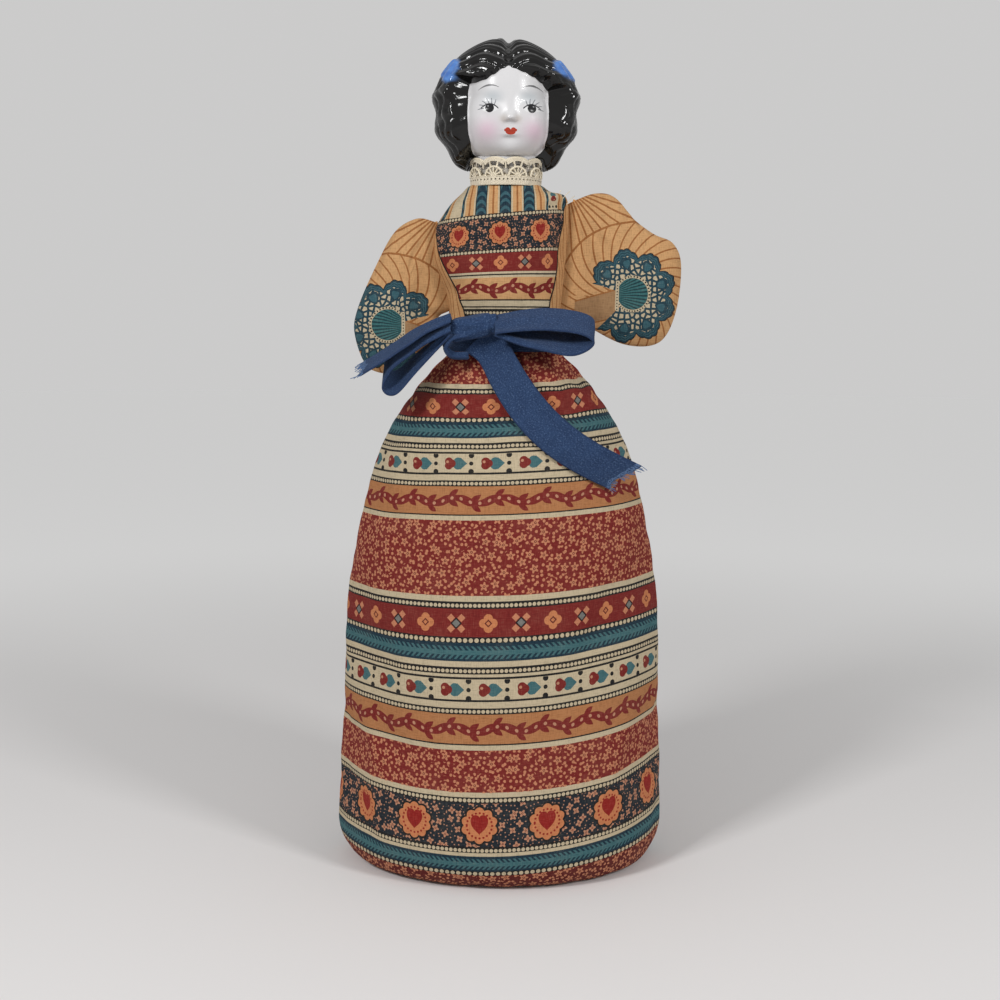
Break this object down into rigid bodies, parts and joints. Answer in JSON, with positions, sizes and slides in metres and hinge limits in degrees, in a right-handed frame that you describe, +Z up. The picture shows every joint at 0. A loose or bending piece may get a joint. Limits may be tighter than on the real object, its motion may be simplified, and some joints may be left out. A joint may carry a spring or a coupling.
{
  "type": "sachet doll",
  "caption": "Standing cloth doll with a glazed china head, a stuffed bell skirt over a scented pouch, puffed arms that swing at their seams and a tape bow at the waist.",
  "frame": {"origin": "middle of the flat underside of the base", "axes": "+Z up from the base to the head, -Y towards the face, +X towards the right arm as the viewer sees it"},
  "size_m": [0.1188, 0.0868, 0.2845],
  "materials": {
    "print_cotton": "printed plain-weave cotton, matt",
    "sleeve_cotton": "printed plain-weave cotton, matt",
    "muslin": "unbleached open weave",
    "thread": "spun cotton",
    "fibre_fill": "loose fibre",
    "lace": "ecru cotton lace",
    "cotton_tape": "woven tape, matt",
    "card": "plain grey-brown board",
    "china": "clear glaze over painted face and hair"
  },
  "bodies": {
    "body": {"skirt_front": "print_cotton", "skirt_back": "print_cotton", "skirt_base": "print_cotton", "base_card": "card", "scent_pouch": "muslin", "pouch_tie": "thread", "skirt_stuffing": "fibre_fill", "bodice_front": "print_cotton", "bodice_back": "print_cotton", "torso_stuffing": "fibre_fill", "left_shoulder_thread": "thread", "right_shoulder_thread": "thread", "neck_tie": "thread", "lace_collar": "lace", "sash_band": "cotton_tape", "bow_knot": "cotton_tape"},
    "head": {"china_head": "china"},
    "left_arm": {"left_sleeve_front": "sleeve_cotton", "left_sleeve_back": "sleeve_cotton", "left_arm_stuffing": "fibre_fill"},
    "right_arm": {"right_sleeve_front": "sleeve_cotton", "right_sleeve_back": "sleeve_cotton", "right_arm_stuffing": "fibre_fill"},
    "left_loop": {"left_bow_loop": "cotton_tape"},
    "right_loop": {"right_bow_loop": "cotton_tape"},
    "short_tail": {"short_bow_tail": "cotton_tape"},
    "long_tail": {"long_bow_tail": "cotton_tape"}
  },
  "joints": [
    {"name": "head_turn", "type": "hinge", "parent": "body", "child": "head", "pos_m": [0, 0, 0.23], "axis": [0, 0, 1], "range_deg": [-30, 30]},
    {"name": "left_arm_swing", "type": "hinge", "parent": "body", "child": "left_arm", "pos_m": [-0.02257, 0, 0.20811], "axis": [0.0704, 0, -0.9975], "range_deg": [-20, 45]},
    {"name": "right_arm_swing", "type": "hinge", "parent": "body", "child": "right_arm", "pos_m": [0.02252, 0, 0.21212], "axis": [0.0566, 0, 0.9984], "range_deg": [-20, 45]},
    {"name": "left_loop_tilt", "type": "hinge", "parent": "body", "child": "left_loop", "pos_m": [-0.0193, -0.021, 0.1875], "axis": [0, -1, 0], "range_deg": [0, 15], "stiffness_Nm_per_rad": 0.005},
    {"name": "right_loop_tilt", "type": "hinge", "parent": "body", "child": "right_loop", "pos_m": [-0.0017, -0.021, 0.1875], "axis": [0, -1, 0], "range_deg": [-8, 12], "stiffness_Nm_per_rad": 0.005},
    {"name": "short_tail_lift", "type": "hinge", "parent": "body", "child": "short_tail", "pos_m": [-0.0193, -0.021, 0.1895], "axis": [0, 1, 0], "range_deg": [0, 25], "stiffness_Nm_per_rad": 0.005},
    {"name": "long_tail_lift", "type": "hinge", "parent": "body", "child": "long_tail", "pos_m": [-0.0032, -0.0169, 0.1812], "axis": [-0.7071, 0, -0.7071], "range_deg": [0, 40]}
  ]
}
